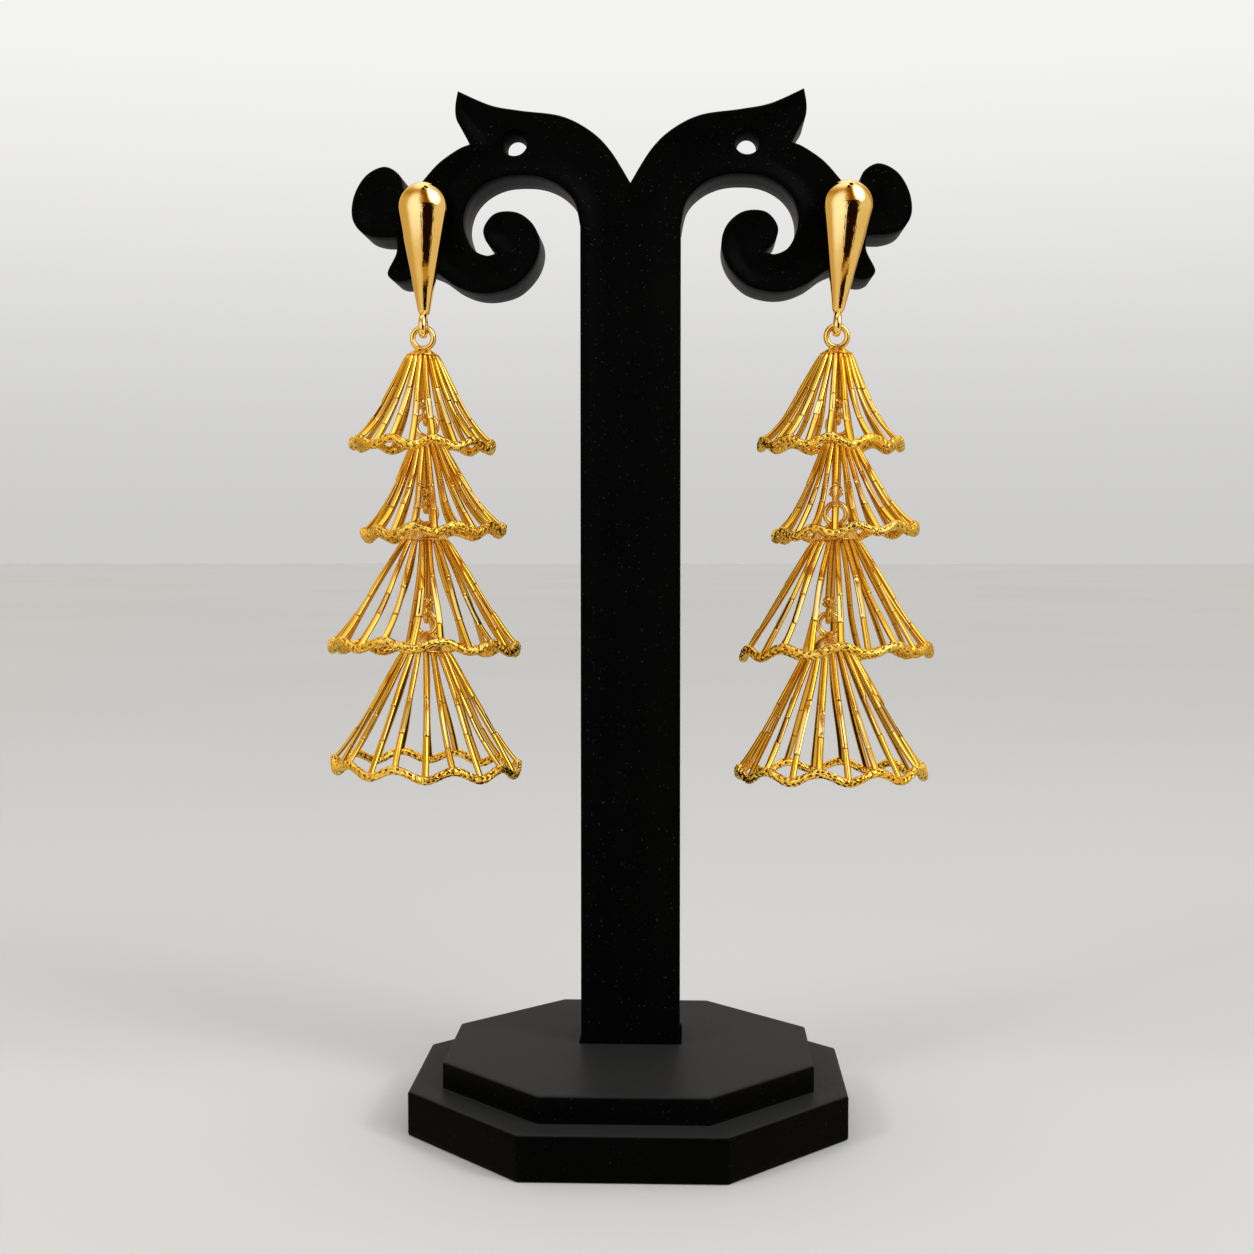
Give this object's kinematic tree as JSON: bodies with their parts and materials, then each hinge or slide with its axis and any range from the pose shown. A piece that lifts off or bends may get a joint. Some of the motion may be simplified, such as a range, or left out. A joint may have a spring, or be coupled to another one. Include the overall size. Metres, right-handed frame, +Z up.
{
  "type": "pair of jhumka earrings on a display stand",
  "caption": "Gold drop earrings of wire bells nested in tiers, hung as a pair from the scrolled arms of a black plastic stand; each bell swings fore and aft.",
  "frame": {"origin": "centre of the underside of the stand's base", "axes": "+X to the viewer's right, +Y away from the viewer, +Z up along the stem"},
  "size_m": [0.0701, 0.05, 0.12],
  "materials": {
    "gold": "polished yellow gold",
    "black_plastic": "satin black moulded plastic"
  },
  "bodies": {
    "stand": {"stand_base": "black_plastic", "stand_upright": "black_plastic", "left_stud": "gold", "left_screw_back": "gold", "right_stud": "gold", "right_screw_back": "gold"},
    "left_bell_1": {"left_bell_1": "gold"},
    "left_bell_2": {"left_bell_2": "gold"},
    "left_bell_3": {"left_bell_3": "gold"},
    "left_bell_4": {"left_bell_4": "gold"},
    "right_bell_1": {"right_bell_1": "gold"},
    "right_bell_2": {"right_bell_2": "gold"},
    "right_bell_3": {"right_bell_3": "gold"},
    "right_bell_4": {"right_bell_4": "gold"}
  },
  "joints": [
    {"name": "left_swing_1", "type": "hinge", "parent": "stand", "child": "left_bell_1", "pos_m": [-0.02401, -0.0016, 0.09242], "axis": [1, 0, 0], "range_deg": [-45, 45]},
    {"name": "left_swing_2", "type": "hinge", "parent": "left_bell_1", "child": "left_bell_2", "pos_m": [-0.02376, -0.0016, 0.08222], "axis": [1, 0, 0], "range_deg": [-25, 25]},
    {"name": "left_swing_3", "type": "hinge", "parent": "left_bell_2", "child": "left_bell_3", "pos_m": [-0.02376, -0.0016, 0.07202], "axis": [1, 0, 0], "range_deg": [-20, 20]},
    {"name": "left_swing_4", "type": "hinge", "parent": "left_bell_3", "child": "left_bell_4", "pos_m": [-0.02376, -0.0016, 0.05922], "axis": [1, 0, 0], "range_deg": [-30, 23]},
    {"name": "right_swing_1", "type": "hinge", "parent": "stand", "child": "right_bell_1", "pos_m": [0.02389, -0.0016, 0.09242], "axis": [1, 0, 0], "range_deg": [-45, 45]},
    {"name": "right_swing_2", "type": "hinge", "parent": "right_bell_1", "child": "right_bell_2", "pos_m": [0.02404, -0.0016, 0.08222], "axis": [1, 0, 0], "range_deg": [-25, 25]},
    {"name": "right_swing_3", "type": "hinge", "parent": "right_bell_2", "child": "right_bell_3", "pos_m": [0.02386, -0.0016, 0.07202], "axis": [1, 0, 0], "range_deg": [-20, 20]},
    {"name": "right_swing_4", "type": "hinge", "parent": "right_bell_3", "child": "right_bell_4", "pos_m": [0.0231, -0.0016, 0.05924], "axis": [1, 0, 0], "range_deg": [-30, 23]}
  ]
}
